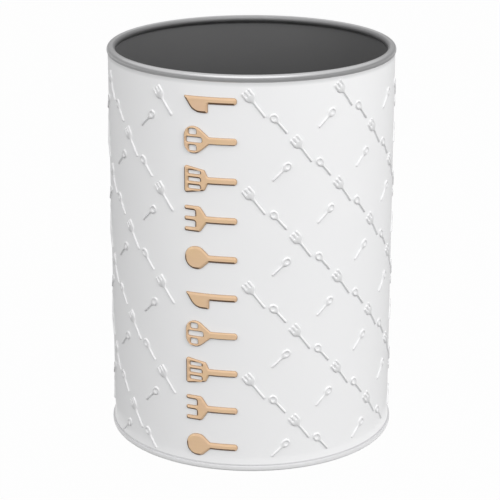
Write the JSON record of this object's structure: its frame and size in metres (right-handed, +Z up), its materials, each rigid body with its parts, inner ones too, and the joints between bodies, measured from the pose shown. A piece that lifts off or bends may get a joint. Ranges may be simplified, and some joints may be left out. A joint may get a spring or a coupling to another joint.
{
  "type": "utensil holder",
  "caption": "Open round kitchen utensil holder: pressed white outer wall, smooth dark liner, bright rolled rim, rolled hem at the foot, and a column of raised tan utensil figures.",
  "frame": {"origin": "centre of the foot, on the surface that the holder stands on", "axes": "+Z up through the open mouth, the front faces -Y, with the column of figures left of its middle"},
  "size_m": [0.1092, 0.1092, 0.15],
  "materials": {
    "white_lacquer": "satin white lacquer on pressed sheet",
    "grey_lacquer": "smooth dark grey lacquer",
    "bright_steel": "bright, lightly drawn round the rim",
    "tan_print": "satin tan tint with a soft wood-like gradient"
  },
  "bodies": {
    "root": {"outer_wall": "white_lacquer", "base_plate": "white_lacquer", "inner_liner": "grey_lacquer", "inner_floor": "grey_lacquer", "rim_ring": "bright_steel", "lower_spoon_figure": "tan_print", "lower_fork_figure": "tan_print", "lower_turner_figure": "tan_print", "lower_whisk_figure": "tan_print", "lower_knife_figure": "tan_print", "upper_spoon_figure": "tan_print", "upper_fork_figure": "tan_print", "upper_turner_figure": "tan_print", "upper_whisk_figure": "tan_print", "upper_knife_figure": "tan_print"}
  },
  "joints": []
}
